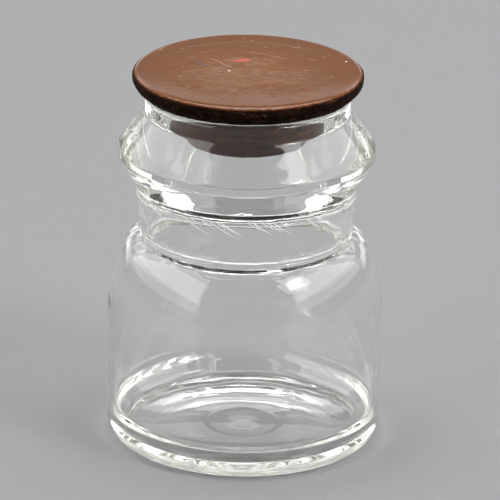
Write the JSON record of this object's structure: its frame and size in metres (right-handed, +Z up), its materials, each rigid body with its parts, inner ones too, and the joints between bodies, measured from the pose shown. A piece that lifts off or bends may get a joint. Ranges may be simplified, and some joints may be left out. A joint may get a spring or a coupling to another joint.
{
  "type": "specimen jar",
  "caption": "Small clear glass specimen jar with a flared collar under its rim, closed by a painted wooden stopper that lifts out.",
  "frame": {"origin": "centre of the flat ring that the jar stands on", "axes": "+Z up along the jar's axis, from the base to the stopper; the jar is a solid of revolution, so +X and +Y are free"},
  "size_m": [0.025, 0.025, 0.0349],
  "materials": {
    "glass": "clear, fire polished",
    "painted_wood": "brown paint, semi-gloss on top, rubbed and porous on the side",
    "bare_wood": "dark stained, matt"
  },
  "bodies": {
    "jar": {"glass_jar": "glass"},
    "stopper": {"stopper_cap": "painted_wood", "stopper_plug": "bare_wood"}
  },
  "joints": [
    {"name": "stopper_lift", "type": "slide", "parent": "jar", "child": "stopper", "axis": [0, 0, 1], "range_m": [0, 0.02]}
  ]
}
